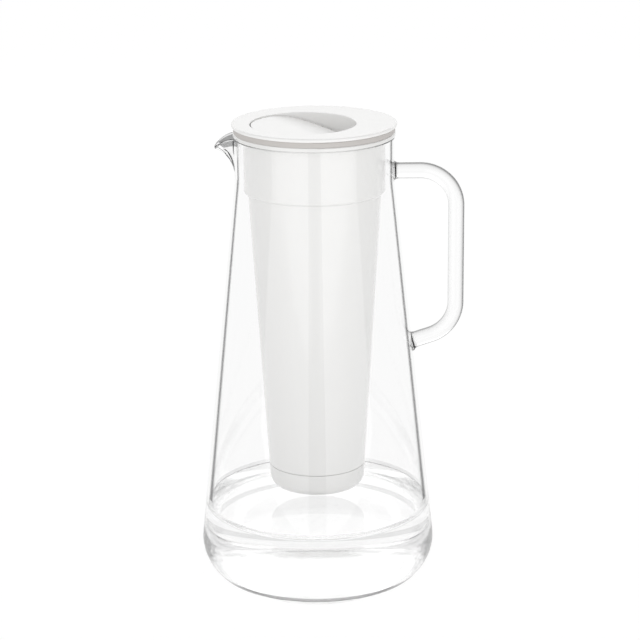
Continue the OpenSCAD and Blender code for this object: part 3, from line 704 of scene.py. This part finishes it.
to_wall = maths(rod, "SUBTRACT", 1.0, maths(rod, "MINIMUM", flare_share, 1.0))
quarter = maths(rod, "SQRT", maths(rod, "SUBTRACT", 1.0, maths(rod, "MULTIPLY", to_wall, to_wall)))
fillet = maths(rod, "MULTIPLY", maths(rod, "SUBTRACT", 1.0, quarter), rod_given["Flare"])
circle = add(rod, "GeometryNodeCurvePrimitiveCircle", Resolution=ROD_SIDES, Radius=1.0)
sweep = add(rod, "GeometryNodeCurveToMesh", Fill_Caps=True)
link(rod, rod_given["Geometry"], sweep.inputs["Curve"])
link(rod, maths(rod, "ADD", rod_given["Radius"], fillet), sweep.inputs["Scale"])
link(rod, circle.outputs["Curve"], sweep.inputs["Profile Curve"])
finish_tree(rod, sweep.outputs["Mesh"], rod_given["Material"])
rod_modifier = handle.modifiers.new("rod", "NODES")
rod_modifier.node_group = rod
rod_modifier[rod_coat_input] = ROD_GLASS_PAINTED_SHADE
handle_rod = baked(handle, "handle_rod")
print("rod", len(handle_rod.data.vertices), "points")

# %% [markdown]
# The rod still runs through the wall. A plug with the shape of the jug cuts it off inside the glass,
# and a union then melts the two together, just as the glassblower's torch does.
# Two bodies left overlapping would look alike from afar, but light would show the faces hidden in the glass.

# %% Weld the handle to the jug
PLUG_INSET = 1.3
PLUG_DROP = 8.0
SHARP_ANGLE = math.radians(40)


def cut_or_join(body, tool, operation, name):
    """One exact Boolean between two bodies; the tool is used up."""
    step = body.modifiers.new(name, "BOOLEAN")
    step.operation = operation
    step.object = tool
    step.solver = "EXACT"
    made = baked(body, body.name)
    bpy.data.objects.remove(tool)
    return made


plug_top = RIM_Z - PLUG_DROP
plug_slice = jug_side(PLUG_INSET, PLUG_INSET) + [(NECK_R - PLUG_INSET, plug_top), (0, plug_top)]
plug = turned("plug", plug_slice, GLASS)
handle_rod = cut_or_join(handle_rod, plug, "DIFFERENCE", "trim")
jug = cut_or_join(jug, handle_rod, "UNION", "melt")
jug.data.shade_smooth()
jug.data.set_sharp_from_angle(angle=SHARP_ANGLE)
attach(jug, "jug")
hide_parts("glass_vessel", "glass_handle")
print("welded jug", len(jug.data.polygons), "faces")

# %% [markdown]
# ## Water
# A little filtered water stands in the jug. It is not part of the object, so it belongs to the set.
# It reaches a hair into the glass on all sides, because an air gap there would shine like a mirror.
# Its slice is the jug's inner face up to the waterline, so the lathe can turn it too.

# %% Water
WATER_LAP = 0.15
SURFACE_RINGS = (1.0, 0.97, 0.9, 0.7, 0.4, 0.0)
inner_face = jug_side(GLASS_WALL - WATER_LAP, GLASS_FLOOR - WATER_LAP)
water_side = [(r, z) for r, z in inner_face if z < WATER_Z]
waterline_r = water_side[-1][0]
water_top = [(waterline_r * ring, WATER_Z) for ring in SURFACE_RINGS]
water = turned("water", water_side + water_top, WATER)
print("the water stands", WATER_Z, "mm above the table")

# %% [markdown]
# ## Plastics
# The lid, the flap and the hopper are moulded in white plastic, and the seals in silicone and rubber.
# A single colour would look like a drawing, so `surface` adds what a mould leaves behind.
# A slow noise shifts the colour a little, another one the gloss, and a fast one makes a very fine grain.

# %% Moulded surface
COLOUR_WAVES = 60
GLOSS_WAVES = 160
GRAIN_WAVES = 3000
GRAIN_DEPTH = 0.002
GLOSS_SHIFT = 0.02


def surface(name, colour, roughness, shift=0.004, shine=0.5):
    """A moulded surface: slow colour and gloss changes with a fine grain."""
    material = bpy.data.materials.new(name)
    material.use_nodes = True
    tree = material.node_tree
    shader = tree.nodes["Principled BSDF"]
    shader.inputs["Specular IOR Level"].default_value = shine
    dark = [c * (1 - shift) for c in colour]
    light = [min(1.0, c * (1 + shift)) for c in colour]
    slow = noise(tree, COLOUR_WAVES, 3.0)
    link(tree, two_colours(tree, slow, dark, light), shader.inputs["Base Color"])
    gloss = spread(tree, noise(tree, GLOSS_WAVES), roughness - GLOSS_SHIFT, roughness + GLOSS_SHIFT)
    link(tree, gloss, shader.inputs["Roughness"])
    link(tree, bumped(tree, noise(tree, GRAIN_WAVES), GRAIN_DEPTH), shader.inputs["Normal"])
    return material


def dress(material, slot, *names):
    for name in names:
        piece = nodes[name]
        piece.data.materials.clear()
        piece.data.materials.append(material)
    print(slot, "on", len(names), "pieces")


dress(surface("lid_white", (0.91, 0.905, 0.895), 0.2), "lid_white", "lid_cover", "fill_flap")
dress(surface("hopper_white", (0.81, 0.807, 0.796), 0.14, shine=0.9), "hopper_white", "hopper", "outlet_cap")
dress(surface("grey_silicone", (0.56, 0.535, 0.515), 0.6), "grey_silicone", "lid_gasket", "inlet_seal")

# %% [markdown]
# The filters hang inside the hopper and only show when it is taken apart, but they are dressed all the same.
# Their housings are plain mouldings. The fibres, the cast resin and the black ring need no own pattern.

# %% Filter housings
housings = ("membrane_cap", "membrane_cage", "membrane_base", "carbon_shell", "inlet_lid")
dress(surface("filter_plastic", (0.80, 0.81, 0.82), 0.4), "filter_plastic", *housings)
dress(surface("fibre", (0.92, 0.91, 0.86), 0.7), "fibre", "hollow_fibres")
dress(surface("potting_resin", (0.82, 0.76, 0.58), 0.35), "potting_resin", "membrane_potting")
dress(surface("seal_black", (0.05, 0.05, 0.052), 0.5), "seal_black", "membrane_o_ring")

# %% [markdown]
# The cartridge is packed with felt discs, carbon grains and resin beads.
# Felt is a mat of hairs: two noises, each drawn out along one axis, cross each other in the disc's plane.
# A bed of grains is a Voronoi pattern: every cell is one grain with its own shade and a round top.

# %% Filter media
HAIR_WAVES = 1500
HAIR_DEPTH = 0.25
HAIR_DRAWN = 0.06
HAIR_UP = 0.5
FELT_SHIFT = 0.06


def felted(name, colour, roughness):
    """Pressed felt: thin hairs that cross each other."""
    material = surface(name, colour, roughness, shift=FELT_SHIFT)
    tree = material.node_tree
    one_way = noise(tree, HAIR_WAVES, 3.0, (1, HAIR_DRAWN, HAIR_UP))
    other_way = noise(tree, HAIR_WAVES, 3.0, (HAIR_DRAWN, 1, HAIR_UP))
    hairs = maths(tree, "MAXIMUM", one_way, other_way)
    link(tree, bumped(tree, hairs, HAIR_DEPTH), tree.nodes["Principled BSDF"].inputs["Normal"])
    return material


def grains(name, dark, light, roughness, size_mm):
    """A packed bed of grains."""
    material = surface(name, light, roughness)
    tree = material.node_tree
    shader = tree.nodes["Principled BSDF"]
    cells = add(tree, "ShaderNodeTexVoronoi", Scale=1 / (size_mm * MM))
    link(tree, add(tree, "ShaderNodeTexCoord").outputs["Object"], cells.inputs["Vector"])
    shade = add(tree, "ShaderNodeSeparateColor")
    link(tree, cells.outputs["Color"], shade.inputs["Color"])
    link(tree, two_colours(tree, shade.outputs["Red"], dark, light), shader.inputs["Base Color"])
    dome = maths(tree, "SUBTRACT", 1.0, cells.outputs["Distance"])
    link(tree, bumped(tree, dome, size_mm / 2), shader.inputs["Normal"])
    return material


dress(felted("felt", (0.84, 0.82, 0.77), 0.9), "felt", "upper_felt", "middle_felt", "lower_felt")
dress(grains("carbon", (0.018, 0.018, 0.02), (0.05, 0.05, 0.052), 0.7, 1.1), "carbon", "carbon_bed")
dress(grains("resin_beads", (0.5, 0.26, 0.06), (0.72, 0.44, 0.15), 0.3, 0.7), "resin_beads", "resin_bed")
